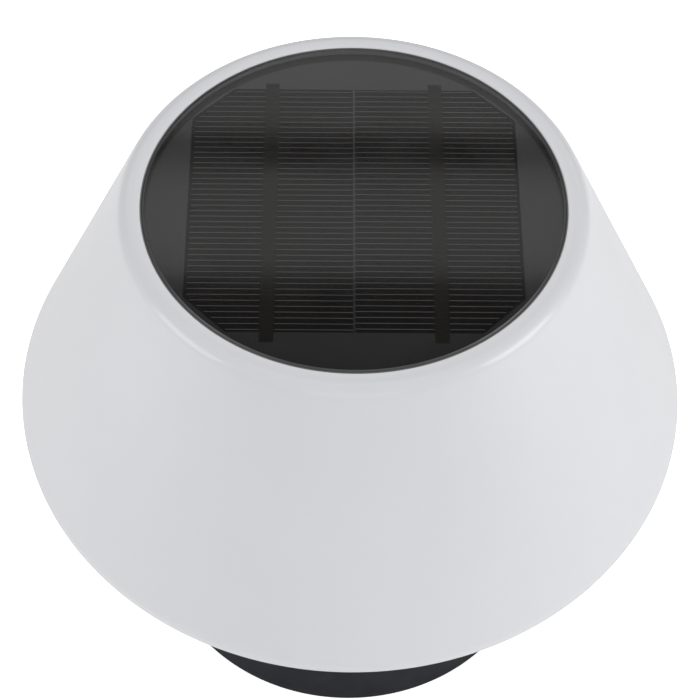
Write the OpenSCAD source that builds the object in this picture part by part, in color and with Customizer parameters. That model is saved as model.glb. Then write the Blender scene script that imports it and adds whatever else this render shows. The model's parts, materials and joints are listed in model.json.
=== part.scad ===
// Solar table lamp: an opal cone shade with a round solar panel in its top, on a dark drum foot.
// The foot holds two rechargeable cells, the control board and a push switch on its underside.
// The origin is on the standing surface, below the middle of the lamp. The front faces -Y.

/* [Overall] */
// Height from the standing surface to the top of the solar panel
height = 236; // [225:1:284]
// Largest diameter of the shade
shade_d = 272; // [256:1:330]

/* [Solar panel] */
// Diameter of the clear panel cover
panel_d = 160; // [154:1:192]
// Thickness of the clear panel cover
cover_t = 3; // [2:0.1:4]
// Bevel around the cover's top edge
cover_bevel = 1; // [0.4:0.1:1.5]
// Radial gap between the panel and the shade's recess
panel_gap = 0.4; // [0.2:0.1:0.8]
// Width of the whole cell, both halves
cell_w = 125.4; // [100:0.1:126]
// Height of the cell across the ribbons' length
cell_h = 120.2; // [96:0.1:122]
// Leg of each cut corner of the cell
cell_corner = 16; // [14:0.5:24]
// Gap between the two half cells
cell_gap = 0.8; // [0.4:0.1:2]
// Thickness of a half cell
cell_t = 0.3; // [0.2:0.05:0.5]
// Width of a ribbon
ribbon_w = 5.3; // [2:0.1:7]
// Distance of each ribbon from the middle of the panel
ribbon_x = 31.8; // [20:0.1:40]
// Length of a ribbon past the cell's front edge
ribbon_front = 4.6; // [2:0.1:6]
// Length of a ribbon past the cell's back edge
ribbon_back = 3; // [2:0.1:6]
// Thickness of a ribbon
ribbon_t = 0.15; // [0.1:0.05:0.3]
// Thickness of the dark backing behind the cells
backing_t = 2.2; // [1.5:0.1:3]
// Thickness of the tray's plate
tray_t = 2.8; // [2:0.1:4]
// Thickness of the gasket under the tray
gasket_t = 1; // [0.6:0.1:2]
// Width of each clip that holds the tray down
clip_w = 10; // [8:0.5:14]
// Thickness of each clip
clip_t = 2; // [1.5:0.1:3]

/* [Shade] */
// Wall of the shade
shade_wall = 2.2; // [1.6:0.1:3]
// Width of the shoulder around the panel
shoulder_w = 10; // [9:0.1:14]
// Rounding of the shoulder's outer edge
shoulder_round = 6; // [4:0.1:8]
// Drop from the panel's top to the shoulder
shoulder_drop = 0; // [0:0.1:2]
// Drop from the panel's top to the widest line of the shade
widest_drop = 113.6; // [100:0.1:120]
// Rounding of the shade's lower rim
rim_round = 11.5; // [8:0.5:14]
// Width of the ledge that carries the panel
ledge_w = 6.4; // [5:0.1:8]
// Thickness of that ledge
ledge_t = 2.5; // [2:0.1:4]
// Thickness of the flange that sits on the foot
flange_t = 2.4; // [2:0.1:4]
// Width of that flange
flange_w = 11; // [9:0.5:14]

/* [Foot] */
// Diameter of the foot's lower edge
foot_d = 169; // [152:1:201]
// Diameter of the foot's top
foot_top_d = 156; // [150:1:188]
// Height of the foot's top above the standing surface
foot_top = 82; // [80:1:88]
// Wall of the foot
foot_wall = 2.5; // [2:0.1:3.5]
// Thickness of the foot's top plate
foot_plate = 3; // [2.5:0.1:4]
// Rounding of the foot's top edge
foot_round = 2; // [1:0.5:3]
// Thickness of the bottom cover
base_t = 4; // [4:0.1:5]
// Depth of the bottom cover inside the foot's lower edge
base_sink = 1; // [0.5:0.1:2]
// Height of the rubber pads below the foot's lower edge
pad_proud = 1.5; // [1:0.1:2.5]
// Diameter of a rubber pad
pad_d = 14; // [10:0.5:16]
// Depth of a pad's pocket in the bottom cover
pad_sink = 1.2; // [0.8:0.1:1.5]
// Thickness of the flat seals
seal_t = 1; // [0.8:0.1:1.5]

/* [Light] */
// Diameter of the round light board
board_d = 84; // [76:1:92]
// Height of the light board's underside above the foot's top
light_rise = 32; // [24:1:50]
// Number of light emitting diodes
led_n = 12; // [8:1:14]
// Distance of the diodes from the middle
led_r = 33; // [30:0.5:35]
// Side of a square diode
led_side = 5; // [3:0.1:6]

/* [Cells and boards] */
// Diameter of a rechargeable cell
battery_d = 18.2; // [14:0.1:21.9]
// Length of a rechargeable cell
battery_l = 65.2; // [48:0.1:66]
// Clearance around each cell in its holder
battery_gap = 0.7; // [0.4:0.1:1.5]
// Wall of the battery holder
holder_wall = 2; // [1.6:0.1:3]
// Length of the control board
control_l = 84; // [80:1:88]
// Width of the control board
control_w = 64; // [60:1:66]
// Thickness of the circuit boards
pcb_t = 1.6; // [1:0.1:2]

/* [Power button] */
// Diameter of the button
button_d = 12; // [9:0.1:14.4]
// Travel of the button
button_travel = 1.5; // [0.8:0.1:2]
// Radial running clearance of the button and its plunger
running_gap = 0.06; // [0.03:0.01:0.1]

/* [Screws and cable] */
// Diameter of the larger screws
screw_d = 3; // [2.5:0.1:3.5]
// Diameter of the smaller screws
small_d = 2.5; // [2:0.1:3]
// Diameter of the panel cable
cable_d = 4; // [3:0.1:5]
// Diameter of the inner leads
lead_d = 2.6; // [2:0.1:3.2]

/* [Hidden] */
$fn = 96;

arc_steps = 10;
fit = 0.4;
thread_bite = 5;
small_bite = 6;
board_bite = 8;
base_bite = 9;
plug_in = 3;
terminal_in = 4;
pad_inset = 12.7;
pad_angles = [60, 120, 240, 300];
clip_turn = 45;
pedestal_turn = 30;
base_turn = 30;
head_h = 1.8;
head_ratio = 1.9;

// Panel stack, from the top down
panel_r = panel_d / 2;
recess_r = panel_r + panel_gap;
cover_z = height - cover_t;
backing_z = cover_z - backing_t;
backing_r = panel_r - 0.6;
tray_z = backing_z - tray_t;
ledge_z = tray_z - gasket_t;
ledge_under = ledge_z - ledge_t;
ledge_r = recess_r - ledge_w;
skirt_r = ledge_r - fit;
skirt_wall = 3;
clip_screw_r = skirt_r - skirt_wall - 6;
clip_inner_r = clip_screw_r - 6;
clip_outer_r = recess_r - 1.4;
clip_n = 4;
terminal_size = [26, 18, 9];
terminal_z = tray_z - terminal_size.z;

// Shade outline
shoulder_r = panel_r + shoulder_w;
shoulder_c = [shoulder_r - shoulder_round, height - shoulder_drop - shoulder_round];
rim_c = [shade_d / 2 - rim_round, height - widest_drop];
seat_z = foot_top + seal_t;
flange_r = foot_top_d / 2 - 1;
opening_r = flange_r - flange_w;
flange_z = seat_z + flange_t;
cone_a = tangent_angle(shoulder_c, shoulder_round, rim_c, rim_round, 1);
under_a = tangent_angle(rim_c, rim_round, [flange_r, seat_z], 0, 1);
under_slope = under_a + 90;
flange_corner = [flange_r, seat_z] - shade_wall * direction(under_a);
flange_join = flange_corner.x + (flange_z - flange_corner.y) / tan(under_slope);

// Seat of the shade on the foot
spigot_r = opening_r - fit;
spigot_in = spigot_r - 8;
clamp_screw_r = spigot_r - 4;
clamp_n = 6;
clamp_t = 3;
clamp_in = spigot_in - 1;
clamp_out = flange_r - 3;
boss_r = 4;
boss_h = 9;

// Light assembly
light_z = foot_top + light_rise;
spreader_t = 2;
spreader_z = light_z - spreader_t;
light_r = board_d / 2;
led_top = light_z + pcb_t;
led_h = 1.6;
light_n = 3;
light_screw_r = 24;
pedestal_wall = 2.5;
pedestal_foot_r = spigot_in - 6;
pedestal_low_r = pedestal_foot_r - 13;
pedestal_top_r = 30;
pedestal_screw_r = pedestal_foot_r - 6;
pedestal_base_t = 2.5;
hub_r = 7;
lead_x = 16;

// Foot
foot_r = foot_d / 2;
foot_top_r = foot_top_d / 2;
foot_low = pad_proud;
foot_edge = 1.2;
base_z = foot_low + base_sink;
base_top = base_z + base_t;
step_z = base_top + seal_t;
step_h = 3;
step_w = 2.5;
plate_z = foot_top - foot_plate;
foot_in = foot_r - foot_wall;
foot_top_in = foot_top_r - foot_wall - foot_round;
base_r = foot_in - fit;
step_r = foot_in - step_w;
base_screw_r = step_r - 4.6;
base_screw_n = 6;
base_boss_r = 4.5;
base_boss_h = 16;
grommet_r = 6;
grommet_lip = 1.5;
pad_r = base_r - pad_inset;

// Control board, hung below the foot's plate
control_y = 5;
control_z = plate_z - 18.6;
control_top = control_z + pcb_t;
post_r = 3.5;
post_x = control_l / 2 - 6;
post_y = control_w / 2 - 6;
plug_size = [9, 7, 7];
low_plug = [8, 6, 6];
low_plug_z = control_z - low_plug.z;

// Batteries, lying along X above the door
battery_n = 2;
battery_y = -12;
battery_pitch = battery_d + 1.4;
bump_l = 1.4;
contact_t = 0.5;
bay_l = battery_l + 2 * (bump_l + contact_t);
bay_w = battery_pitch * (battery_n - 1) + battery_d + 2 * battery_gap;
battery_z = base_top + 0.3 + battery_d / 2;
bay_top = battery_z + battery_d / 2 + battery_gap;
holder_top = bay_top + holder_wall;
holder_l = bay_l + 2 * holder_wall;
holder_w = bay_w + 2 * holder_wall;
tab_x = 24;
tab_w = 8;
tab_t = 2.5;
battery_lead_x = -20;

// Battery door
door_plate = 1.5;
door_seal_t = 0.8;
door_l = bay_l + 26;
door_w = bay_w + 10;
door_gap = 0.3;
door_screw_x = bay_l / 2 + 7.6;
tab_screw_y = door_w / 2 + door_gap + small_d / 2 + 1.4;
door_boss_h = 6;
door_corner = 3;

// Power button and its switch
button_y = 40;
button_r = button_d / 2;
button_face = base_z - 0.5;
button_flange = 1.5;
button_flange_t = 1.2;
button_seal_t = 1.2;
button_seal_w = 2.5;
button_stop = base_top + 0.3;
button_top = button_stop + button_flange_t;
plunger_r = 2;
plunger_top = button_top + 6;
switch_size = [12, 12, 7];
switch_z = button_top + button_travel + 1.2;
switch_board_z = switch_z + switch_size.z;
switch_board_size = [button_d + 26, 18];
switch_post_x = button_r + button_flange + 6.2;
switch_post_r = 3.2;
switch_lead_at = [6, button_y - 7];

function direction(a) = [cos(a), sin(a)];
function arc(c, r, a0, a1) = [for (i = [0:arc_steps]) c + r * direction(a0 + (a1 - a0) * i / arc_steps)];
// Direction of the outward normal of the line that touches two circles on the same side
function tangent_angle(c0, r0, c1, r1, side) =
    let (gap = c1 - c0)
    atan2(gap.y, gap.x) + side * acos((r0 - r1) / norm(gap));

module around(n, r, start = 0) {
    for (i = [0:n - 1])
        rotate([0, 0, start + 360 * i / n])
            translate([r, 0, 0])
                children();
}

module ring(r_out, r_in, z, h) {
    translate([0, 0, z])
        difference() {
            cylinder(r = r_out, h = h);
            translate([0, 0, -1])
                cylinder(r = r_in, h = h + 2);
        }
}

module plate(size, z, h) {
    translate([-size.x / 2, -size.y / 2, z])
        cube([size.x, size.y, h]);
}

module rounded_plate(size, corner, z, h) {
    plate([size.x - 2 * corner, size.y], z, h);
    plate([size.x, size.y - 2 * corner], z, h);
    for (x = [-1, 1], y = [-1, 1])
        translate([x * (size.x / 2 - corner), y * (size.y / 2 - corner), z])
            cylinder(r = corner, h = h);
}

module hole(r, z, h) {
    translate([0, 0, z])
        cylinder(r = r, h = h);
}

// A cross-head screw with its head below z and its shank above it
module screw(d, z, length) {
    head_r = d * head_ratio / 2;
    slot = head_r * 1.2;
    difference() {
        union() {
            translate([0, 0, z - head_h])
                cylinder(r = head_r, h = head_h);
            translate([0, 0, z - 0.01])
                cylinder(r = d / 2, h = length + 0.01);
        }
        for (a = [0, 90])
            rotate([0, 0, a])
                translate([-slot / 2, -0.3, z - head_h - 0.1])
                    cube([slot, 0.6, 1.1]);
    }
}

module screw_down(d, z, length) {
    translate([0, 0, z])
        mirror([0, 0, 1])
            screw(d, 0, length);
}

module half_cell_outline(side, grow) {
    edge = cell_w / 2 + grow;
    inner = cell_gap / 2 - grow;
    top = cell_h / 2 + grow;
    polygon([
        [side * inner, -top], [side * (edge - cell_corner), -top], [side * edge, -top + cell_corner],
        [side * edge, top - cell_corner], [side * (edge - cell_corner), top], [side * inner, top]
    ]);
}

module half_cell(side) {
    color([0.10, 0.10, 0.12])
        translate([0, 0, cover_z - ribbon_t - cell_t])
            linear_extrude(cell_t)
                half_cell_outline(side, 0);
}

module ribbon_bar(side) {
    translate([side * ribbon_x - ribbon_w / 2, -cell_h / 2 - ribbon_front, cover_z - ribbon_t])
        cube([ribbon_w, cell_h + ribbon_front + ribbon_back, ribbon_t]);
}

module shade() {
    lip_z = height - shoulder_drop;
    lip_under = lip_z - shade_wall;
    recess_out = recess_r + shade_wall;
    inner_shoulder = shoulder_round - shade_wall;
    inner_rim = rim_round - shade_wall;
    color([0.93, 0.93, 0.94])
        rotate_extrude()
            polygon(concat(
                [[recess_r, ledge_z], [recess_r, lip_z]],
                arc(shoulder_c, shoulder_round, 90, cone_a),
                arc(rim_c, rim_round, cone_a, under_a),
                [[flange_r, seat_z], [opening_r, seat_z], [opening_r, flange_z], [flange_join, flange_z]],
                arc(rim_c, inner_rim, under_a, cone_a),
                arc(shoulder_c, inner_shoulder, cone_a, 90),
                [[recess_out, lip_under], [recess_out, ledge_under], [ledge_r, ledge_under],
                 [ledge_r, ledge_z]]
            ));
}

module panel_cover() {
    color([0.30, 0.30, 0.31])
        rotate_extrude()
            polygon([
                [0, cover_z], [panel_r, cover_z], [panel_r, height - cover_bevel],
                [panel_r - cover_bevel, height], [0, height]
            ]);
}

module cell_left() {
    half_cell(-1);
}

module cell_right() {
    half_cell(1);
}

module cell_ribbons() {
    color([0.24, 0.23, 0.19])
        for (side = [-1, 1])
            ribbon_bar(side);
}

module panel_backing() {
    pocket = ribbon_t + cell_t;
    color([0.16, 0.16, 0.17])
        difference() {
            translate([0, 0, backing_z])
                cylinder(r = backing_r, h = backing_t);
            for (side = [-1, 1]) {
                translate([0, 0, cover_z - pocket])
                    linear_extrude(pocket + 1)
                        half_cell_outline(side, 0);
                ribbon_bar(side);
            }
        }
}

module panel_tray() {
    boss_low = ledge_under;
    color([0.13, 0.13, 0.14])
        difference() {
            union() {
                translate([0, 0, tray_z])
                    cylinder(r = backing_r, h = tray_t);
                ring(skirt_r, skirt_r - skirt_wall, ledge_under + 0.3, tray_z - ledge_under - 0.3 + 0.5);
                around(clip_n, clip_screw_r, clip_turn)
                    hole(boss_r, boss_low, tray_z - boss_low + 0.5);
            }
            around(clip_n, clip_screw_r, clip_turn)
                hole(screw_d / 2, boss_low - 1, tray_z + tray_t - 1 - boss_low + 1);
        }
}

module panel_gasket() {
    color([0.15, 0.15, 0.15])
        ring(backing_r - 0.4, ledge_r + 0.3, ledge_z, gasket_t);
}

module tray_clips() {
    color([0.75, 0.76, 0.78])
        around(clip_n, 0, clip_turn)
            difference() {
                translate([clip_inner_r, -clip_w / 2, ledge_under - clip_t])
                    cube([clip_outer_r - clip_inner_r, clip_w, clip_t]);
                translate([clip_screw_r, 0, 0])
                    hole(screw_d / 2 + fit / 2, ledge_under - clip_t - 1, clip_t + 2);
            }
}

module tray_screws() {
    shank = clip_t + tray_z + tray_t - 1 - ledge_under;
    color([0.70, 0.71, 0.73])
        around(clip_n, clip_screw_r, clip_turn)
            screw(screw_d, ledge_under - clip_t, shank);
}

module terminal_box() {
    color([0.12, 0.12, 0.12])
        difference() {
            plate(terminal_size, terminal_z, terminal_size.z);
            hole(cable_d / 2, terminal_z - 1, terminal_in + 1);
        }
}

module panel_cable() {
    low = control_top + plug_size.z - plug_in;
    color([0.10, 0.10, 0.10])
        translate([0, 0, low])
            cylinder(r = cable_d / 2, h = terminal_z + terminal_in - low);
}

module shade_seal() {
    color([0.18, 0.18, 0.19])
        ring(flange_r - 1, opening_r + 0.5, foot_top, seal_t);
}

module clamp_ring() {
    color([0.85, 0.85, 0.85])
        difference() {
            ring(clamp_out, clamp_in, flange_z, clamp_t);
            around(clamp_n, clamp_screw_r)
                hole(screw_d / 2 + fit / 2, flange_z - 1, clamp_t + 2);
        }
}

module clamp_screws() {
    color([0.70, 0.71, 0.73])
        around(clamp_n, clamp_screw_r)
            screw_down(screw_d, flange_z + clamp_t, clamp_t + flange_z - plate_z + thread_bite);
}

module led_pedestal() {
    base_low = foot_top;
    base_high = foot_top + pedestal_base_t;
    top_low = spreader_z - pedestal_base_t;
    color([0.92, 0.92, 0.92])
        difference() {
            union() {
                rotate_extrude()
                    polygon([
                        [pedestal_low_r - pedestal_wall, base_low], [pedestal_foot_r, base_low],
                        [pedestal_foot_r, base_high], [pedestal_low_r, base_high],
                        [pedestal_top_r, spreader_z], [hub_r, spreader_z], [hub_r, top_low],
                        [pedestal_top_r - pedestal_wall, top_low]
                    ]);
                around(light_n, light_screw_r)
                    hole(post_r, spreader_z - small_bite - 2, small_bite + 1);
            }
            around(light_n, light_screw_r)
                hole(small_d / 2, spreader_z - small_bite - 1, small_bite + 4);
            around(light_n, pedestal_screw_r, pedestal_turn)
                hole(screw_d / 2 + fit / 2, base_low - 1, pedestal_base_t + 2);
            translate([lead_x, 0, 0])
                hole(lead_d / 2 + fit, top_low - 1, pedestal_base_t + 2);
        }
}

module pedestal_screws() {
    color([0.70, 0.71, 0.73])
        around(light_n, pedestal_screw_r, pedestal_turn)
            screw_down(screw_d, foot_top + pedestal_base_t, pedestal_base_t + foot_plate + thread_bite);
}

module light_disc(z, h) {
    difference() {
        ring(light_r, hub_r, z, h);
        around(light_n, light_screw_r)
            hole(small_d / 2 + fit / 2, z - 1, h + 2);
        translate([lead_x, 0, 0])
            hole(lead_d / 2, z - 1, h + 2);
    }
}

module heat_spreader() {
    color([0.78, 0.79, 0.80])
        light_disc(spreader_z, spreader_t);
}

module led_board() {
    color([0.95, 0.95, 0.94])
        light_disc(light_z, pcb_t);
}

module leds() {
    color([0.98, 0.92, 0.60])
        around(led_n, led_r)
            translate([-led_side / 2, -led_side / 2, led_top])
                cube([led_side, led_side, led_h]);
}

module led_screws() {
    color([0.70, 0.71, 0.73])
        around(light_n, light_screw_r)
            screw_down(small_d, led_top, pcb_t + spreader_t + small_bite);
}

module led_lead() {
    low = control_top + plug_size.z - plug_in;
    color([0.75, 0.10, 0.10])
        translate([lead_x, 0, low])
            cylinder(r = lead_d / 2, h = led_top - low);
}

module foot_housing() {
    spigot_top = flange_z;
    color([0.20, 0.20, 0.22])
        difference() {
            union() {
                rotate_extrude()
                    polygon(concat(
                        [[foot_in, foot_low]],
                        arc([foot_r - foot_edge, foot_low + foot_edge], foot_edge, -90, 0),
                        arc([foot_top_r - foot_round, foot_top - foot_round], foot_round, 0, 90),
                        [[spigot_r, foot_top], [spigot_r, spigot_top], [spigot_in, spigot_top],
                         [spigot_in, foot_top], [grommet_r, foot_top], [grommet_r, plate_z],
                         [foot_top_in, plate_z], [step_r, step_z + step_h], [step_r, step_z],
                         [foot_in, step_z]]
                    ));
                around(clamp_n, clamp_screw_r)
                    hole(boss_r, plate_z - boss_h, boss_h + 1);
                around(light_n, pedestal_screw_r, pedestal_turn)
                    hole(boss_r, plate_z - boss_h, boss_h + 1);
                for (x = [-1, 1], y = [-1, 1])
                    translate([x * post_x, control_y + y * post_y, 0])
                        hole(post_r, control_top, plate_z - control_top + 1);
                around(base_screw_n, 0, base_turn) {
                    translate([base_screw_r, 0, 0])
                        hole(base_boss_r, base_top, base_boss_h);
                    translate([base_screw_r, -2, step_z])
                        cube([step_r - base_screw_r + 1, 4, base_boss_h - seal_t - 1]);
                }
            }
            around(clamp_n, clamp_screw_r)
                hole(screw_d / 2, plate_z - thread_bite, spigot_top - plate_z + thread_bite + 1);
            around(light_n, pedestal_screw_r, pedestal_turn)
                hole(screw_d / 2, plate_z - thread_bite, foot_plate + thread_bite + 1);
            for (x = [-1, 1], y = [-1, 1])
                translate([x * post_x, control_y + y * post_y, 0])
                    hole(small_d / 2, control_top - 1, board_bite + 1);
            around(base_screw_n, base_screw_r, base_turn)
                hole(screw_d / 2, base_top - 1, base_bite + 2);
            translate([lead_x, 0, 0])
                hole(lead_d / 2 + fit, plate_z - 1, foot_plate + 2);
        }
}

module cable_grommet() {
    color([0.12, 0.12, 0.12]) {
        difference() {
            union() {
                translate([0, 0, plate_z])
                    cylinder(r = grommet_r, h = foot_plate);
                for (z = [plate_z - grommet_lip, foot_top])
                    translate([0, 0, z])
                        cylinder(r = grommet_r + 1.5, h = grommet_lip);
            }
            hole(cable_d / 2, plate_z - grommet_lip - 1, foot_plate + 2 * grommet_lip + 2);
        }
    }
}

module control_board() {
    color([0.08, 0.30, 0.16])
        difference() {
            translate([0, control_y, 0])
                plate([control_l, control_w], control_z, pcb_t);
            for (x = [-1, 1], y = [-1, 1])
                translate([x * post_x, control_y + y * post_y, 0])
                    hole(small_d / 2 + fit / 2, control_z - 1, pcb_t + 2);
        }
}

module board_parts() {
    color([0.14, 0.14, 0.15]) {
        translate([-24, 14, 0])
            plate([12, 12], control_z - 6, 6);
        translate([-6, 18, 0])
            plate([8, 8], control_z - 1.4, 1.4);
        translate([22, 10, 0])
            plate([6, 10], control_z - 1.6, 1.6);
    }
    color([0.20, 0.22, 0.35])
        for (x = [18, 30])
            translate([x, -12, 0])
                hole(4, control_z - 11, 11);
}

module board_connectors() {
    color([0.93, 0.92, 0.88]) {
        difference() {
            plate(plug_size, control_top, plug_size.z);
            hole(cable_d / 2, control_top + plug_size.z - plug_in, plug_in + 1);
        }
        translate([lead_x, 0, 0])
            difference() {
                plate(plug_size, control_top, plug_size.z);
                hole(lead_d / 2, control_top + plug_size.z - plug_in, plug_in + 1);
            }
        for (at = [[battery_lead_x, battery_y], switch_lead_at])
            translate([at.x, at.y, 0])
                difference() {
                    plate(low_plug, low_plug_z, low_plug.z);
                    hole(lead_d / 2, low_plug_z - 1, plug_in + 1);
                }
    }
}

module board_screws() {
    color([0.70, 0.71, 0.73])
        for (x = [-1, 1], y = [-1, 1])
            translate([x * post_x, control_y + y * post_y, 0])
                screw(small_d, control_z, pcb_t + board_bite);
}

module battery_holder() {
    color([0.13, 0.13, 0.14])
        translate([0, battery_y, 0])
            difference() {
                union() {
                    plate([holder_l, holder_w], base_top, holder_top - base_top);
                    for (x = [-1, 1])
                        translate([x * tab_x, 0, 0])
                            plate([tab_w, 2 * tab_screw_y + tab_w], base_top, tab_t);
                }
                plate([bay_l, bay_w], base_top - 1, bay_top - base_top + 1);
                for (x = [-1, 1], y = [-1, 1])
                    translate([x * tab_x, y * tab_screw_y, 0])
                        hole(small_d / 2 + fit / 2, base_top - 1, tab_t + 2);
                translate([battery_lead_x, 0, 0])
                    hole(lead_d / 2, bay_top - 1, holder_wall + 2);
            }
}

module holder_screws() {
    color([0.70, 0.71, 0.73])
        for (x = [-1, 1], y = [-1, 1])
            translate([x * tab_x, battery_y + y * tab_screw_y, 0])
                screw_down(small_d, base_top + tab_t, tab_t + base_t - 1.2);
}

module battery_cells() {
    color([0.15, 0.35, 0.60])
        for (i = [0:battery_n - 1])
            translate([-battery_l / 2, battery_y + (i - (battery_n - 1) / 2) * battery_pitch, battery_z])
                rotate([0, 90, 0])
                    cylinder(r = battery_d / 2, h = battery_l);
}

module battery_contacts() {
    plate_h = battery_d * 0.7;
    color([0.80, 0.78, 0.70])
        for (side = [-1, 1])
            translate([side * (bay_l / 2 - contact_t / 2), battery_y, 0]) {
                translate([0, 0, battery_z - plate_h / 2])
                    plate([contact_t, bay_w - 2], 0, plate_h);
                for (i = [0:battery_n - 1])
                    translate([-side * (contact_t + bump_l) / 2, (i - (battery_n - 1) / 2) * battery_pitch,
                               battery_z])
                        rotate([0, 90, 0])
                            cylinder(r = 3, h = bump_l, center = true);
            }
}

module battery_lead() {
    low = bay_top;
    color([0.75, 0.10, 0.10])
        translate([battery_lead_x, battery_y, low])
            cylinder(r = lead_d / 2, h = low_plug_z + plug_in - low);
}

module bottom_cover() {
    door_z = base_z + door_plate + door_seal_t;
    color([0.17, 0.17, 0.18])
        difference() {
            union() {
                translate([0, 0, base_z])
                    cylinder(r = base_r, h = base_t);
                for (side = [-1, 1]) {
                    translate([side * door_screw_x, battery_y, 0])
                        hole(boss_r - 0.3, base_top - 1, door_boss_h + 1);
                    translate([side * switch_post_x, button_y, 0])
                        hole(switch_post_r, base_top - 1, switch_board_z - base_top + 1);
                }
            }
            around(base_screw_n, base_screw_r, base_turn) {
                hole(screw_d / 2 + fit / 2, base_z - 1, base_t + 2);
                hole(screw_d * head_ratio / 2 + fit, base_z - 1, head_h + 1);
            }
            for (a = pad_angles)
                rotate([0, 0, a])
                    translate([pad_r, 0, 0])
                        hole(pad_d / 2, base_z - 1, pad_sink + 1);
            translate([0, battery_y, 0]) {
                plate([bay_l, bay_w], base_z - 1, base_t + 2);
                rounded_plate([door_l + 2 * door_gap, door_w + 2 * door_gap], door_corner, base_z - 1,
                              door_z - base_z + 1);
            }
            for (side = [-1, 1]) {
                translate([side * door_screw_x, battery_y, 0])
                    hole(screw_d / 2, base_z, base_t + door_boss_h - 1.5);
                translate([side * switch_post_x, button_y, 0])
                    hole(small_d / 2, switch_board_z - small_bite - 1, small_bite + 2);
            }
            for (x = [-1, 1], y = [-1, 1])
                translate([x * tab_x, battery_y + y * tab_screw_y, 0])
                    hole(small_d / 2, base_top - (base_t - 1.2), base_t);
            translate([0, button_y, 0]) {
                hole(button_r + fit, base_z - 1, base_t + 2);
                hole(button_r + button_seal_w, base_top - button_seal_t, button_seal_t + 1);
            }
        }
}

module cover_seal() {
    color([0.15, 0.15, 0.15])
        ring(foot_in - 0.3, step_r + 0.3, base_top, seal_t);
}

module cover_screws() {
    color([0.70, 0.71, 0.73])
        around(base_screw_n, base_screw_r, base_turn)
            screw(screw_d, base_z + head_h, base_t - head_h + base_bite);
}

module battery_door() {
    color([0.16, 0.16, 0.17])
        translate([0, battery_y, 0])
            difference() {
                union() {
                    rounded_plate([door_l, door_w], door_corner, base_z, door_plate);
                    plate([bay_l - 1, bay_w - 1], base_z + door_plate - 0.5, base_t - door_plate + 0.5);
                }
                for (side = [-1, 1])
                    translate([side * door_screw_x, 0, 0])
                        hole(screw_d / 2 + fit / 2, base_z - 1, door_plate + 2);
            }
}

module door_seal() {
    color([0.10, 0.10, 0.10])
        translate([0, battery_y, 0])
            difference() {
                rounded_plate([door_l - 1, door_w - 1], door_corner - 0.5, base_z + door_plate, door_seal_t);
                plate([bay_l, bay_w], base_z, base_t);
                for (side = [-1, 1])
                    translate([side * door_screw_x, 0, 0])
                        hole(screw_d / 2 + fit / 2, base_z, base_t);
            }
}

module door_screws() {
    color([0.70, 0.71, 0.73])
        for (side = [-1, 1])
            translate([side * door_screw_x, battery_y, 0])
                screw(screw_d, base_z, base_t + door_boss_h - 3);
}

module rubber_pads() {
    color([0.08, 0.08, 0.08])
        for (a = pad_angles)
            rotate([0, 0, a])
                translate([pad_r, 0, 0])
                    cylinder(r = pad_d / 2, h = base_z + pad_sink);
}

module power_button() {
    color([0.55, 0.56, 0.58])
        translate([0, button_y, 0]) {
            translate([0, 0, button_face])
                cylinder(r = button_r, h = button_top - button_face);
            translate([0, 0, button_stop])
                cylinder(r = button_r + button_flange, h = button_flange_t);
        }
}

module switch_plunger() {
    color([0.85, 0.85, 0.83])
        translate([0, button_y, button_top])
            cylinder(r = plunger_r, h = plunger_top - button_top);
}

module button_seal() {
    color([0.10, 0.10, 0.10])
        translate([0, button_y, 0])
            ring(button_r + button_seal_w, button_r + running_gap, base_top - button_seal_t, button_seal_t);
}

module switch_body() {
    color([0.12, 0.12, 0.13])
        translate([0, button_y, 0])
            difference() {
                plate(switch_size, switch_z, switch_size.z);
                hole(plunger_r + running_gap, switch_z - 1, plunger_top + button_travel + 0.6 - switch_z + 1);
            }
}

module switch_board() {
    color([0.08, 0.30, 0.16])
        translate([0, button_y, 0])
            difference() {
                plate(switch_board_size, switch_board_z, pcb_t);
                for (side = [-1, 1])
                    translate([side * switch_post_x, 0, 0])
                        hole(small_d / 2 + fit / 2, switch_board_z - 1, pcb_t + 2);
            }
}

module switch_screws() {
    color([0.70, 0.71, 0.73])
        for (side = [-1, 1])
            translate([side * switch_post_x, button_y, 0])
                screw_down(small_d, switch_board_z + pcb_t, pcb_t + small_bite);
}

module switch_lead() {
    low = switch_board_z + pcb_t;
    color([0.85, 0.75, 0.20])
        translate([switch_lead_at.x, switch_lead_at.y, low])
            cylinder(r = lead_d / 2, h = low_plug_z + plug_in - low);
}

shade();
panel_cover();
cell_left();
cell_right();
cell_ribbons();
panel_backing();
panel_tray();
panel_gasket();
tray_clips();
tray_screws();
terminal_box();
panel_cable();
shade_seal();
clamp_ring();
clamp_screws();
led_pedestal();
pedestal_screws();
heat_spreader();
led_board();
leds();
led_screws();
led_lead();
foot_housing();
cable_grommet();
control_board();
board_parts();
board_connectors();
board_screws();
battery_holder();
holder_screws();
battery_cells();
battery_contacts();
battery_lead();
bottom_cover();
cover_seal();
cover_screws();
battery_door();
door_seal();
door_screws();
rubber_pads();
power_button();
switch_plunger();
button_seal();
switch_body();
switch_board();
switch_screws();
switch_lead();
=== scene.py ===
import json
import math
import bpy
import bmesh
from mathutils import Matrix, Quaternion, Vector


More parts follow.
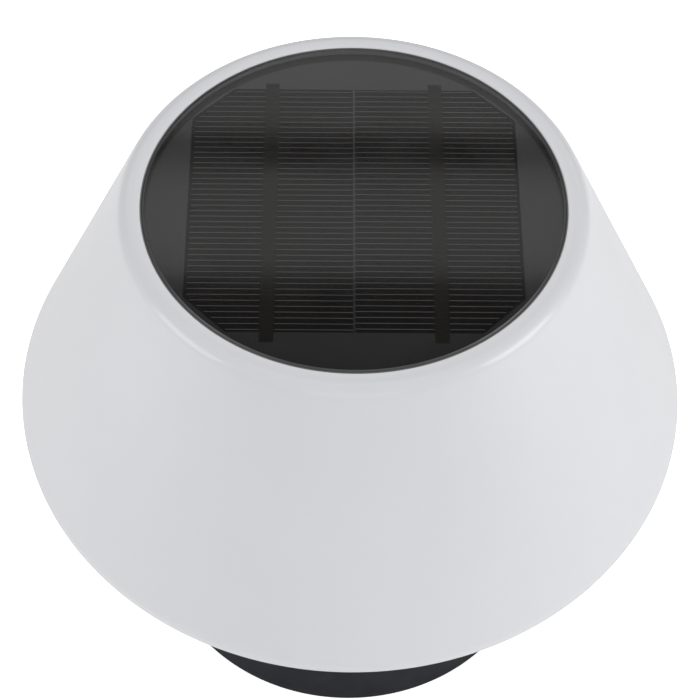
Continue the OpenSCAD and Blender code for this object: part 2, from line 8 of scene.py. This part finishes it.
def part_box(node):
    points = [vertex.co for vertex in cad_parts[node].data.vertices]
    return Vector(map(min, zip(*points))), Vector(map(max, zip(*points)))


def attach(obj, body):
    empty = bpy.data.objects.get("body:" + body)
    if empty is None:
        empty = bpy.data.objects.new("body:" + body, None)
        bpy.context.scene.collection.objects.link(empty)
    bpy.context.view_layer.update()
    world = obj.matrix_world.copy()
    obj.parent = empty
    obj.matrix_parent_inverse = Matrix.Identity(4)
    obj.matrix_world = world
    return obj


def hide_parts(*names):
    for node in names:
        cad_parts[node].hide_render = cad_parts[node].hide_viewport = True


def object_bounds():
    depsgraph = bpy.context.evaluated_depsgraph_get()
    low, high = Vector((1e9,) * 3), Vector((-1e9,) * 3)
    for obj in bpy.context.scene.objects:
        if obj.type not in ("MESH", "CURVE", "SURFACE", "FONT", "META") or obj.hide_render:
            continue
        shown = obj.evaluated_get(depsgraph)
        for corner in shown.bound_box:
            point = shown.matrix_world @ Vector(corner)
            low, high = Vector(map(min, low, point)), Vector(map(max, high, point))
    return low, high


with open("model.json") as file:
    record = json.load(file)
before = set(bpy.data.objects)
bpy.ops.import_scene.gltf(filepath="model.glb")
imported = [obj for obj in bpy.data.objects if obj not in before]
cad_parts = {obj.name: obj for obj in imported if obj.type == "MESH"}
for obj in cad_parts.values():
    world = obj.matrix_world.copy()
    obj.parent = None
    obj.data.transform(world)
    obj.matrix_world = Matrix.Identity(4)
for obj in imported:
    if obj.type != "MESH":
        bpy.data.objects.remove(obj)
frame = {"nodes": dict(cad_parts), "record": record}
nodes = frame["nodes"]
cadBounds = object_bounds()
standing = cadBounds[0].z
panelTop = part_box("panel_cover")[1].z


# small modelling helpers, all through the usual edit-mode tools

def clearSelection():
    if bpy.context.object and bpy.context.object.mode != "OBJECT":
        bpy.ops.object.mode_set(mode="OBJECT")
    bpy.ops.object.select_all(action="DESELECT")


def arcPoints(centre, radius, start, end, steps):
    points = []
    for i in range(steps + 1):
        angle = math.radians(start + (end - start) * i / steps)
        points.append((centre[0] + radius * math.cos(angle), centre[1] + radius * math.sin(angle)))
    return points


def tangentAngle(first, firstRadius, second, secondRadius):
    # outward normal of the straight line that touches both circles
    run, rise = second[0] - first[0], second[1] - first[1]
    return math.degrees(math.atan2(rise, run) + math.acos((firstRadius - secondRadius) / math.hypot(run, rise)))


def settle(name):
    # leaves edit mode, names the piece and puts its place into its mesh
    clearSelection()
    piece = bpy.context.view_layer.objects.active
    piece.name = name
    piece.data.name = name
    piece.select_set(True)
    bpy.ops.object.transform_apply(location=True, rotation=True, scale=True)
    return piece


def turned(name, outline, steps, middle=(0, 0)):
    # draws the outline point by point from one vertex, closes it and spins it round the upright axis
    clearSelection()
    x, y = middle
    bpy.ops.mesh.primitive_plane_add(size=0.001, location=(x + outline[0][0], y, outline[0][1]))
    bpy.ops.object.mode_set(mode="EDIT")
    bpy.ops.mesh.merge(type="CENTER")
    for before, after in zip(outline, outline[1:]):
        step = (after[0] - before[0], 0, after[1] - before[1])
        bpy.ops.mesh.extrude_region_move(TRANSFORM_OT_translate={"value": step})
    sheet = bmesh.from_edit_mesh(bpy.context.object.data)
    for vertex in sheet.verts:
        vertex.select_set(len(vertex.link_edges) == 1)
    bpy.ops.mesh.edge_face_add()
    bpy.ops.mesh.select_all(action="SELECT")
    bpy.ops.mesh.spin(steps=steps, angle=2 * math.pi, center=(x, y, 0), axis=(0, 0, 1))
    bpy.ops.mesh.select_all(action="SELECT")
    bpy.ops.mesh.remove_doubles(threshold=0.000002)
    bpy.ops.mesh.dissolve_degenerate(threshold=0.000001)
    bpy.ops.mesh.normals_make_consistent(inside=False)
    return settle(name)


def smooth(piece, angle=35):
    clearSelection()
    bpy.context.view_layer.objects.active = piece
    piece.select_set(True)
    bpy.ops.object.shade_smooth_by_angle(angle=math.radians(angle))


def copyOf(piece, name):
    twin = piece.copy()
    twin.data = piece.data.copy()
    twin.name = name
    bpy.context.collection.objects.link(twin)
    return twin


def joined(name, parts):
    clearSelection()
    for part in parts:
        part.select_set(True)
    bpy.context.view_layer.objects.active = parts[0]
    bpy.ops.object.join()
    return settle(name)


# material helpers

def addNode(tree, kind, values=None, **settings):
    made = tree.nodes.new(kind)
    for key, value in settings.items():
        setattr(made, key, value)
    for key, value in (values or {}).items():
        made.inputs[key].default_value = value
    return made


def ranged(tree, source, low, high, fromLow=0.3, fromHigh=0.7):
    step = addNode(tree, "ShaderNodeMapRange", {"From Min": fromLow, "From Max": fromHigh,
                                                "To Min": low, "To Max": high})
    tree.links.new(source, step.inputs["Value"])
    return step.outputs["Result"]


def blended(tree, factor, first, second, mode="MIX"):
    # first and second are colours or sockets
    mix = addNode(tree, "ShaderNodeMix", data_type="RGBA", blend_type=mode)
    if isinstance(factor, float):
        mix.inputs["Factor"].default_value = factor
    else:
        tree.links.new(factor, mix.inputs["Factor"])
    for spot, source in ((6, first), (7, second)):
        if isinstance(source, tuple):
            mix.inputs[spot].default_value = (*source, 1)
        else:
            tree.links.new(source, mix.inputs[spot])
    return mix.outputs[2]


def noise(tree, coords, scale, detail=3.0, stretch=None):
    if stretch:
        mapping = addNode(tree, "ShaderNodeMapping", {"Scale": stretch})
        tree.links.new(coords, mapping.inputs["Vector"])
        coords = mapping.outputs["Vector"]
    pattern = addNode(tree, "ShaderNodeTexNoise", {"Scale": scale, "Detail": detail})
    tree.links.new(coords, pattern.inputs["Vector"])
    return pattern.outputs["Fac"]


def bumped(tree, shader, height, strength, distance):
    bump = addNode(tree, "ShaderNodeBump", {"Strength": strength, "Distance": distance})
    tree.links.new(height, bump.inputs["Height"])
    tree.links.new(bump.outputs["Normal"], shader.inputs["Normal"])


def finish(name, look):
    # a surface whose colour, roughness and grain all vary a little over the piece
    material = bpy.data.materials.new(name)
    material.use_nodes = True
    tree = material.node_tree
    shader = tree.nodes["Principled BSDF"]
    coords = tree.nodes.new("ShaderNodeTexCoord").outputs["Object"]
    cloud = noise(tree, coords, look["cloud"], 4.0, look.get("stretch"))
    colour = blended(tree, ranged(tree, cloud, 0.0, 1.0), look["dark"], look["light"])
    tree.links.new(colour, shader.inputs["Base Color"])
    worn = noise(tree, coords, look["cloud"] * 2.7, 5.0, look.get("stretch"))
    tree.links.new(ranged(tree, worn, *look["rough"]), shader.inputs["Roughness"])
    bumped(tree, shader, noise(tree, coords, look["grain"], 2.0, look.get("stretch")), look["bump"], look["depth"])
    for socket, value in look.get("set", {}).items():
        shader.inputs[socket].default_value = value
    return material, tree, shader, coords, colour


opalLook = {"dark": (0.795, 0.80, 0.83), "light": (0.825, 0.83, 0.855), "cloud": 9.0, "rough": (0.36, 0.42),
            "grain": 900.0, "bump": 0.12, "depth": 0.00002,
            "set": {"IOR": 1.48, "Specular IOR Level": 0.55, "Coat Weight": 0.5, "Coat Roughness": 0.14}}
paintedTrayShade = {  # painted shade: the shell is thin round the panel, and the base colour is darkened in a ring there, standing in for the dark tray showing through it
    "inner": 0.0804, "outer": 0.0904, "depth": 0.015, "fade": 0.015,
    "stops": ((0.0, 0.96), (0.35, 0.91), (1.0, 1.0))}


def opalPlastic():
    material, tree, shader, coords, colour = finish("opalPlastic", opalLook)
    parts = addNode(tree, "ShaderNodeSeparateXYZ")
    tree.links.new(coords, parts.inputs[0])
    flat = addNode(tree, "ShaderNodeCombineXYZ")
    tree.links.new(parts.outputs["X"], flat.inputs["X"])
    tree.links.new(parts.outputs["Y"], flat.inputs["Y"])
    length = addNode(tree, "ShaderNodeVectorMath", operation="LENGTH")
    tree.links.new(flat.outputs[0], length.inputs[0])
    # painted shade: a ring of darker base colour round the panel, faded in only near the top of the shell
    reach = ranged(tree, length.outputs["Value"], 0.0, 1.0, paintedTrayShade["inner"], paintedTrayShade["outer"])
    ramp = addNode(tree, "ShaderNodeValToRGB")
    while len(ramp.color_ramp.elements) < len(paintedTrayShade["stops"]):
        ramp.color_ramp.elements.new(0.5)
    for element, (place, value) in zip(ramp.color_ramp.elements, paintedTrayShade["stops"]):
        element.position = place
        element.color = (value, value, value, 1)
    tree.links.new(reach, ramp.inputs["Fac"])
    fadeEnd = panelTop - paintedTrayShade["depth"]
    upper = ranged(tree, parts.outputs["Z"], 0.0, 1.0, fadeEnd - paintedTrayShade["fade"], fadeEnd)
    shaded = blended(tree, upper, colour, blended(tree, 1.0, colour, ramp.outputs["Color"], "MULTIPLY"))
    tree.links.new(shaded, shader.inputs["Base Color"])
    return material


glassLook = {"dark": (0.004, 0.004, 0.004), "light": (0.007, 0.007, 0.007), "cloud": 14.0, "rough": (0.05, 0.08),
             "grain": 60.0, "bump": 0.02, "depth": 0.00001,
             "set": {"IOR": 2.3, "Specular IOR Level": 1.0, "Alpha": 0.17}}


def coverGlass():
    return finish("coverGlass", glassLook)[0]


siliconLook = {"dark": (0.0018, 0.0016, 0.0018), "light": (0.0034, 0.0030, 0.0033), "cloud": 40.0,
               "rough": (0.50, 0.60), "grain": 2600.0, "bump": 0.05, "depth": 0.0000008, "stretch": (1.0, 0.25, 1.0),
               "set": {"IOR": 1.5, "Specular IOR Level": 0.08}}


def siliconWafer():
    return finish("siliconWafer", siliconLook)[0]


boardLook = {"dark": (0.010, 0.075, 0.030), "light": (0.016, 0.110, 0.045), "cloud": 60.0, "rough": (0.25, 0.4),
             "grain": 700.0, "bump": 0.2, "depth": 0.00003, "set": {}}
boardTracks = {"colour": (0.03, 0.19, 0.075), "offset": 0.35,
               "pattern": {"Scale": 120.0, "Mortar Size": 0.012, "Row Height": 0.2, "Brick Width": 0.9}}


def greenBoard():
    material, tree, shader, coords, colour = finish("greenBoard", boardLook)
    tracks = addNode(tree, "ShaderNodeTexBrick", boardTracks["pattern"], offset=boardTracks["offset"])
    tree.links.new(coords, tracks.inputs["Vector"])
    traced = blended(tree, tracks.outputs["Fac"], colour, boardTracks["colour"])
    tree.links.new(traced, shader.inputs["Base Color"])
    return material


def metalLook(dark, light, rough, stretch=(1.0, 1.0, 0.1)):
    return {"dark": dark, "light": light, "cloud": 260.0, "rough": rough, "grain": 1800.0, "bump": 0.15,
            "depth": 0.00001, "stretch": stretch, "set": {"Metallic": 1.0}}


def plasticLook(dark, light, rough, grain=1400.0, depth=0.00004, shine=0.5):
    return {"dark": dark, "light": light, "cloud": 30.0, "rough": rough, "grain": grain, "bump": 0.35,
            "depth": depth, "set": {"IOR": 1.48, "Specular IOR Level": shine}}


plainLooks = {
    "footPlastic": plasticLook((0.0175, 0.0185, 0.0235), (0.0215, 0.0225, 0.0285), (0.52, 0.62),
                               2400.0, 0.00006, 0.15),
    "whitePlastic": plasticLook((0.72, 0.72, 0.71), (0.78, 0.78, 0.77), (0.42, 0.52)),
    "blackPlastic": plasticLook((0.012, 0.012, 0.013), (0.020, 0.020, 0.021), (0.40, 0.55)),
    "creamPlastic": plasticLook((0.72, 0.68, 0.58), (0.78, 0.75, 0.66), (0.30, 0.42)),
    "greyPlastic": plasticLook((0.24, 0.25, 0.27), (0.29, 0.30, 0.32), (0.38, 0.48)),
    "backSheet": plasticLook((0.0215, 0.0200, 0.0208), (0.0245, 0.0229, 0.0236), (0.11, 0.15),
                             3000.0, 0.0000003, 0.45),
    "tinRibbon": plasticLook((0.0050, 0.0044, 0.0024), (0.0085, 0.0076, 0.0046), (0.40, 0.52), 900.0, 0.00001, 0.10),
    "rubber": plasticLook((0.010, 0.010, 0.011), (0.018, 0.018, 0.018), (0.70, 0.85), 1500.0, 0.00008),
    "cableJacket": plasticLook((0.012, 0.012, 0.012), (0.020, 0.020, 0.020), (0.50, 0.62)),
    "redInsulation": plasticLook((0.40, 0.012, 0.012), (0.50, 0.022, 0.020), (0.35, 0.45)),
    "whiteMask": plasticLook((0.80, 0.80, 0.78), (0.86, 0.86, 0.84), (0.25, 0.35)),
    "epoxyPart": plasticLook((0.016, 0.016, 0.018), (0.026, 0.026, 0.028), (0.45, 0.6)),
    "phosphor": plasticLook((0.85, 0.66, 0.20), (0.92, 0.75, 0.30), (0.22, 0.32)),
    "shrinkSleeve": plasticLook((0.016, 0.080, 0.26), (0.025, 0.110, 0.33), (0.18, 0.28)),
    "fingerSilver": plasticLook((0.085, 0.077, 0.068), (0.115, 0.105, 0.093), (0.50, 0.60), 1400.0, 0.000002, 0.05),
    "greySilicone": plasticLook((0.16, 0.157, 0.157), (0.20, 0.197, 0.197), (0.55, 0.70), 1500.0, 0.00002, 0.2),
    "groundGlass": plasticLook((0.080, 0.078, 0.080), (0.110, 0.107, 0.110), (0.35, 0.50), 2200.0, 0.00001, 0.5),
    "screwSteel": metalLook((0.55, 0.56, 0.58), (0.66, 0.67, 0.69), (0.24, 0.36)),
    "plainAluminium": metalLook((0.70, 0.71, 0.73), (0.80, 0.81, 0.82), (0.30, 0.42), (1.0, 0.08, 1.0)),
    "nickel": metalLook((0.58, 0.55, 0.48), (0.70, 0.67, 0.60), (0.22, 0.34)),
}

materials = {name: finish(name, look)[0] for name, look in plainLooks.items()}
materials["opalPlastic"] = opalPlastic()
materials["coverGlass"] = coverGlass()
materials["siliconWafer"] = siliconWafer()
materials["greenBoard"] = greenBoard()

slotFinish = {  # each record slot and the material that shows it
    "opal_shade": "opalPlastic", "clear_cover": "coverGlass", "silicon_cell": "siliconWafer",
    "ribbon": "tinRibbon", "dark_backing": "backSheet", "white_plastic": "whitePlastic",
    "black_plastic": "blackPlastic", "cream_plastic": "creamPlastic", "grey_plastic": "greyPlastic",
    "foot_plastic": "footPlastic", "rubber": "rubber", "cable_jacket": "cableJacket",
    "red_wire": "redInsulation", "screw_steel": "screwSteel", "aluminium": "plainAluminium",
    "white_board": "whiteMask", "green_board": "greenBoard", "board_part": "epoxyPart",
    "led_chip": "phosphor", "cell_sleeve": "shrinkSleeve", "contact_metal": "nickel",
}
for entry in frame["record"]["subparts"]:
    for spot in nodes[entry["node"]].material_slots:
        spot.material = materials[slotFinish[entry["material_slot"]]]
print("materials ready")


def dressed(piece, slotName, body="lamp", replaced=(), finishName=None):
    piece.data.materials.clear()
    piece.data.materials.append(materials[finishName or slotFinish[slotName]])
    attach(piece, body)
    if replaced:
        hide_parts(*replaced)
    return piece


shell = {"wall": 0.0022, "shoulderWidth": 0.0100, "shoulderRound": 0.0060, "panelGap": 0.0004, "rimRound": 0.0115,
         "widestDrop": 0.1136, "ledgeWidth": 0.0064, "ledgeTop": 0.0090, "ledgeWall": 0.0025, "lipRound": 0.0006,
         "flangeWidth": 0.011, "flangeWall": 0.0024, "flangeOut": 0.077, "steps": 240}


def buildShade():
    low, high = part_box("shade")
    wall = shell["wall"]
    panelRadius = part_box("panel_cover")[1].x
    recess = panelRadius + shell["panelGap"]
    lip = high.z
    bend = shell["shoulderRound"]
    shoulder = (panelRadius + shell["shoulderWidth"] - bend, lip - bend)
    rim = (high.x - shell["rimRound"], panelTop - shell["widestDrop"])
    foot = (shell["flangeOut"], low.z)
    cone = tangentAngle(shoulder, bend, rim, shell["rimRound"])
    under = tangentAngle(rim, shell["rimRound"], foot, 0)
    ledge = panelTop - shell["ledgeTop"]
    ledgeLow = ledge - shell["ledgeWall"]
    ledgeIn = recess - shell["ledgeWidth"]
    flangeTop = low.z + shell["flangeWall"]
    down = math.radians(under)
    corner = (foot[0] - wall * math.cos(down), foot[1] - wall * math.sin(down))
    joinX = corner[0] + (flangeTop - corner[1]) / math.tan(down + math.pi / 2)
    edge = shell["lipRound"]
    outline = [(recess, ledge)]
    outline += arcPoints((recess + edge, lip - edge), edge, 180, 90, 5)
    outline += arcPoints(shoulder, bend, 90, cone, 18)
    outline += arcPoints(rim, shell["rimRound"], cone, under, 28)
    outline += [foot, (foot[0] - shell["flangeWidth"], low.z), (foot[0] - shell["flangeWidth"], flangeTop)]
    outline += [(joinX, flangeTop)]
    outline += arcPoints(rim, shell["rimRound"] - wall, under, cone, 16)
    outline += arcPoints(shoulder, bend - wall, cone, 90, 8)
    outline += [(recess + wall, lip - wall), (recess + wall, ledgeLow), (ledgeIn, ledgeLow), (ledgeIn, ledge)]
    piece = turned("opalShell", outline, shell["steps"])
    smooth(piece, 30)
    return dressed(piece, "opal_shade", replaced=("shade",))


buildShade()
print("shade done")

cover = {"bevel": 0.0010, "bond": 0.0004, "skin": 0.00012, "steps": 240}


def bevelLine(radius, top, depth):
    # the slope of the bevel, this deep under its surface: low end, then high end
    bevel, shift = cover["bevel"], depth * (math.sqrt(2) - 1)
    return [(radius - depth, top - bevel - shift), (radius - bevel - shift, top - depth)]


def buildCover():
    # the clear disc is bonded a little way into the layers under it
    low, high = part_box("panel_cover")
    radius, inner, under = high.x, high.x - cover["bevel"], low.z - cover["bond"]
    slope = bevelLine(radius, high.z, 2 * cover["skin"])
    outline = [(0, under), (inner, under), (inner, low.z), (slope[0][0], low.z)] + slope
    outline += [(slope[1][0], high.z), (0, high.z)]
    piece = turned("glassDisc", outline, cover["steps"])
    smooth(piece, 30)
    return dressed(piece, "clear_cover", replaced=("panel_cover",))


def buildGroundEdge():
    # the bevel of the glass, ground matt
    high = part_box("panel_cover")[1]
    outline = bevelLine(high.x, high.z, 0) + bevelLine(high.x, high.z, cover["skin"])[::-1]
    piece = turned("groundEdge", outline, cover["steps"])
    smooth(piece, 30)
    return dressed(piece, "clear_cover", finishName="groundGlass")


buildCover()
buildGroundEdge()

bead = {"clear": 0.00002, "inset": 0.0002, "deep": 0.0060, "round": 0.0001, "steps": 240}


def buildBead():
    # the sealing bead that fills the gap around the panel
    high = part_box("panel_cover")[1]
    inner, outer = high.x + bead["clear"], high.x + shell["panelGap"] - bead["clear"]
    top, edge = high.z - bead["inset"], bead["round"]
    outline = [(inner, top - bead["deep"]), (outer, top - bead["deep"]), (outer, top - edge)]
    outline += [(outer - edge, top), (inner + edge, top), (inner, top - edge)]
    piece = turned("sealingBead", outline, bead["steps"])
    smooth(piece, 50)
    return dressed(piece, "rubber", finishName="greySilicone")


buildBead()

fingers = {"count": 45, "width": 0.00026, "height": 0.00004, "margin": 0.0013, "ribbonWidth": 0.0053,
           "ribbonGap": 0.0002, "corner": 0.016, "shift": 0.0005, "tolerance": 0.00001}


def buildFingers(name, node, side):
    # one thin bar, copied up the half cell, then cut at the ribbon and at the two cut corners
    low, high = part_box(node)
    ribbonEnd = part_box("cell_ribbons")[1].x
    rise = (high.y - low.y - 2 * fingers["margin"]) / (fingers["count"] - 1)
    middle = (low.x + high.x - side * fingers["margin"]) / 2
    top = high.z + fingers["height"] / 2
    bars = []
    for i in range(fingers["count"]):
        y = low.y + fingers["margin"] + i * rise + (fingers["shift"] if side > 0 else 0)
        y = min(y, high.y - fingers["width"])
        clearSelection()
        bpy.ops.mesh.primitive_cube_add(size=1, location=(middle, y, top),
                                        scale=((high.x - low.x) - fingers["margin"], fingers["width"],
                                               fingers["height"]))
        bars.append(bpy.context.object)
    grid = joined(name, bars)
    halfRibbon = fingers["ribbonWidth"] / 2 + fingers["ribbonGap"]
    ribbonMiddle = side * (ribbonEnd - fingers["ribbonWidth"] / 2)
    clearSelection()
    bpy.context.view_layer.objects.active = grid
    bpy.ops.object.mode_set(mode="EDIT")
    cutLeg = fingers["corner"] + fingers["margin"]
    outer = high.x if side > 0 else low.x
    for end, y in ((-1, low.y), (1, high.y)):
        bpy.ops.mesh.select_all(action="SELECT")
        bpy.ops.mesh.bisect(plane_co=(outer, y - end * cutLeg, top), plane_no=(side, end, 0),
                            use_fill=True, clear_outer=True)
    for edge in (-1, 1):
        bpy.ops.mesh.select_all(action="SELECT")
        bpy.ops.mesh.bisect(plane_co=(ribbonMiddle + edge * halfRibbon, 0, top), plane_no=(1, 0, 0))
    sheet = bmesh.from_edit_mesh(grid.data)
    bpy.ops.mesh.select_all(action="DESELECT")
    for face in sheet.faces:
        middleX = face.calc_center_median().x
        face.select_set(abs(middleX - ribbonMiddle) < halfRibbon - fingers["tolerance"])
    bpy.ops.mesh.delete(type="FACE")
    bpy.ops.mesh.select_all(action="SELECT")
    bpy.ops.mesh.fill_holes(sides=4)
    bpy.ops.mesh.select_all(action="SELECT")
    bpy.ops.mesh.normals_make_consistent(inside=False)
    settle(name)
    return dressed(grid, "ribbon", finishName="fingerSilver")


buildFingers("fingersLeft", "cell_left", -1)
buildFingers("fingersRight", "cell_right", 1)
print("panel done")

drum = {"wall": 0.0025, "edge": 0.0012, "topRound": 0.0020, "topRadius": 0.078, "plate": 0.003, "steps": 200,
        "spigotWall": 0.008, "spigotGap": 0.0004, "hole": 0.006, "stepHigh": 0.003, "stepWide": 0.0025,
        "chamfer": 0.0006}


def buildFoot():
    low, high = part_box("foot_housing")
    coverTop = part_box("cover_seal")[1].z
    base = high.x
    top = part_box("shade_seal")[0].z
    wall = drum["wall"]
    spigot = shell["flangeOut"] - shell["flangeWidth"] - drum["spigotGap"]
    plateLow = top - drum["plate"]
    step = coverTop + drum["stepHigh"]
    topIn = drum["topRadius"] - wall - drum["topRound"]
    outline = [(base - wall, low.z + drum["chamfer"]), (base - wall + drum["chamfer"], low.z)]
    outline += arcPoints((base - drum["edge"], low.z + drum["edge"]), drum["edge"], -90, 0, 6)
    outline += arcPoints((drum["topRadius"] - drum["topRound"], top - drum["topRound"]), drum["topRound"], 0, 90, 8)
    outline += [(spigot, top), (spigot, high.z), (spigot - drum["spigotWall"], high.z),
                (spigot - drum["spigotWall"], top), (drum["hole"], top), (drum["hole"], plateLow), (topIn, plateLow),
                (base - wall - drum["stepWide"], step), (base - wall - drum["stepWide"], coverTop),
                (base - wall, coverTop)]
    piece = turned("footDrum", outline, drum["steps"])
    smooth(piece, 30)
    return dressed(piece, "foot_plastic", replaced=("foot_housing",))


neckSeal = {"overlap": 0.0005, "edge": 0.0003, "steps": 160}


def buildNeckSeal():
    low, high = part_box("shade_seal")
    inner = shell["flangeOut"] - shell["flangeWidth"] + neckSeal["overlap"]
    outer, edge = high.x, neckSeal["edge"]
    outline = [(inner, low.z), (outer - edge, low.z), (outer, low.z + edge), (outer, high.z - edge),
               (outer - edge, high.z), (inner, high.z)]
    piece = turned("neckSeal", outline, neckSeal["steps"])
    smooth(piece, 50)
    return dressed(piece, "rubber", replaced=("shade_seal",))


buildFoot()
buildNeckSeal()

pad = {"radius": 0.007, "angles": (60, 120, 240, 300), "edge": 0.0009, "hollow": 0.0006,
       "hollowFlat": 0.45, "hollowRim": 0.55, "steps": 48}


def buildPads():
    # a moulded rubber pad with a rounded foot and a shallow round hollow, copied to its four places
    low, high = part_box("rubber_pads")
    radius, angles = pad["radius"], pad["angles"]
    reach = (high.y - radius) / math.sin(math.radians(angles[0]))
    edge, hollow = pad["edge"], pad["hollow"]
    outline = [(0, low.z + hollow), (radius * pad["hollowFlat"], low.z + hollow),
               (radius * pad["hollowRim"], low.z)]
    outline += arcPoints((radius - edge, low.z + edge), edge, -90, 0, 5)
    outline += [(radius, high.z), (0, high.z)]
    first = turned("pad", outline, pad["steps"])
    pads = []
    for angle in angles:
        twin = copyOf(first, f"pad{angle}")
        clearSelection()
        twin.select_set(True)
        bpy.context.view_layer.objects.active = twin
        turn = math.radians(angle)
        twin.location = (reach * math.cos(turn), reach * math.sin(turn), 0)
        bpy.ops.object.transform_apply(location=True)
        pads.append(twin)
    bpy.data.objects.remove(first)
    piece = joined("rubberFeet", pads)
    smooth(piece, 40)
    return dressed(piece, "rubber", replaced=("rubber_pads",))


buildPads()

button = {  # the dish is three rings, each at a share of the stem's radius and a height above its face
    "dish": ((0, 0.0005), (0.5, 0.00035), (0.8, 0.0001)),
    "edge": 0.0006, "flange": 0.0015, "flangeWall": 0.0012, "steps": 64}


def buildButton():
    low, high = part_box("power_button")
    middle = ((low.x + high.x) / 2, (low.y + high.y) / 2)
    wide = (high.x - low.x) / 2
    stem = wide - button["flange"]
    edge = button["edge"]
    outline = [(stem * share, low.z + height) for share, height in button["dish"]] + [(stem - edge, low.z)]
    outline += arcPoints((stem - edge, low.z + edge), edge, -90, 0, 5)
    outline += [(stem, high.z - button["flangeWall"]), (wide, high.z - button["flangeWall"]), (wide, high.z),
                (0, high.z)]
    piece = turned("pressButton", outline, button["steps"], middle)
    smooth(piece, 35)
    return dressed(piece, "grey_plastic", "button", ("power_button",))


buildButton()
print("foot done")

floorLook = {"dark": (0.93, 0.93, 0.93), "light": (0.96, 0.96, 0.96), "cloud": 3.0, "rough": (0.6, 0.8),
             "grain": 40.0, "bump": 0.02, "depth": 0.0001,
             "set": {"Specular IOR Level": 0.1, "Emission Color": (1, 1, 1, 1)}}
studio = {"sky": 0.34, "skyMirrored": 0.09, "floorGlow": 0.12, "floorGlowSeen": 0.8, "floorSize": 14.0}
cards = {  # mirrorOnly cards show in reflections and give no light, lightOnly cards the reverse
    "leftCard": {"at": (-1.5, -0.5, 0.8), "aim": (0, 0, 0.14), "size": (0.9, 0.8), "power": 5.8},
    "rightCard": {"at": (1.5, -0.5, 0.8), "aim": (0, 0, 0.14), "size": (0.9, 0.8), "power": 8.6},
    "frontCard": {"at": (0, -2.0, 0.9), "aim": (0, 0, 0.14), "size": (1.4, 1.0), "power": 3.6},
    "topCard": {"at": (0, 0.35, 2.3), "aim": (0, 0, 0), "size": (1.6, 1.2), "power": 16.0, "lightOnly": True},
    "backCard": {"at": (0, 1.5, 1.55), "aim": (0, 1, 1.55), "size": (2.2, 0.56), "power": 2.7, "mirrorOnly": True},
    "backStrip": {"at": (0, 1.5, 2.02), "aim": (0, 1, 2.02), "size": (2.2, 0.24), "power": 1.03, "mirrorOnly": True},
}


def buildFloor():
    # lit like a light table, more for the camera than for the lamp, and clear when seen from below
    clearSelection()
    bpy.ops.mesh.primitive_plane_add(size=studio["floorSize"], location=(0, 0, standing))
    floor = settle("studioFloor")
    material, tree, shader, coords, colour = finish("paleFloor", floorLook)
    seen = tree.nodes.new("ShaderNodeLightPath").outputs["Is Camera Ray"]
    glow = ranged(tree, seen, studio["floorGlow"], studio["floorGlowSeen"], 0.0, 1.0)
    tree.links.new(glow, shader.inputs["Emission Strength"])
    clear = tree.nodes.new("ShaderNodeBsdfTransparent")
    sides = tree.nodes.new("ShaderNodeMixShader")
    tree.links.new(tree.nodes.new("ShaderNodeNewGeometry").outputs["Backfacing"], sides.inputs[0])
    tree.links.new(shader.outputs["BSDF"], sides.inputs[1])
    tree.links.new(clear.outputs["BSDF"], sides.inputs[2])
    tree.links.new(sides.outputs["Shader"], tree.nodes["Material Output"].inputs["Surface"])
    floor.data.materials.append(material)


def buildSky():
    # an even white sky, fainter where it is seen in a shiny surface
    world = bpy.data.worlds.new("studioSky")
    bpy.context.scene.world = world
    world.use_nodes = True
    tree = world.node_tree
    backdrop = tree.nodes["Background"]
    backdrop.inputs["Color"].default_value = (1.0, 1.0, 1.0, 1)
    mirrored = tree.nodes.new("ShaderNodeLightPath").outputs["Is Glossy Ray"]
    strength = ranged(tree, mirrored, studio["sky"], studio["skyMirrored"], 0.0, 1.0)
    tree.links.new(strength, backdrop.inputs["Strength"])


def buildCards():
    for name, card in cards.items():
        clearSelection()
        bpy.ops.object.light_add(type="AREA", location=card["at"])
        light = bpy.context.object
        light.name = name
        light.data.shape = "RECTANGLE"
        light.data.size, light.data.size_y = card["size"]
        light.data.energy = card["power"]
        light.visible_diffuse = not card.get("mirrorOnly", False)
        light.visible_glossy = not card.get("lightOnly", False)
        light.rotation_euler = (Vector(card["aim"]) - Vector(card["at"])).to_track_quat("-Z", "Y").to_euler()


view = {"elevation": 53.04, "azimuth": -0.989, "roll": 1.19, "distance": 0.9084, "aimX": -0.0004, "aimDrop": 0.0944,
        "lens": 114.05, "sensor": 36.0, "shift": 0.0027, "clip": (0.05, 60)}


def buildCamera():
    clearSelection()
    bpy.ops.object.camera_add()
    camera = bpy.context.object
    camera.name = "mainCamera"
    camera.data.sensor_width = view["sensor"]
    camera.data.lens = view["lens"]
    camera.data.shift_y = view["shift"]
    camera.data.clip_start, camera.data.clip_end = view["clip"]
    rise = math.radians(view["elevation"])
    turn = Quaternion((0, 0, 1), math.radians(view["azimuth"]))
    back = turn @ Vector((0, -math.cos(rise), math.sin(rise)))
    aim = turn @ Vector((view["aimX"], 0, 0)) + Vector((0, 0, panelTop - view["aimDrop"]))
    camera.location = aim + back * view["distance"]
    look = (-back).to_track_quat("-Z", "Y")
    camera.rotation_mode = "QUATERNION"
    camera.rotation_quaternion = look @ Quaternion((0, 0, 1), math.radians(view["roll"]))
    bpy.context.scene.camera = camera


buildFloor()
buildSky()
buildCards()
buildCamera()
bpy.context.scene.view_settings.view_transform = "Standard"
print("studio done")
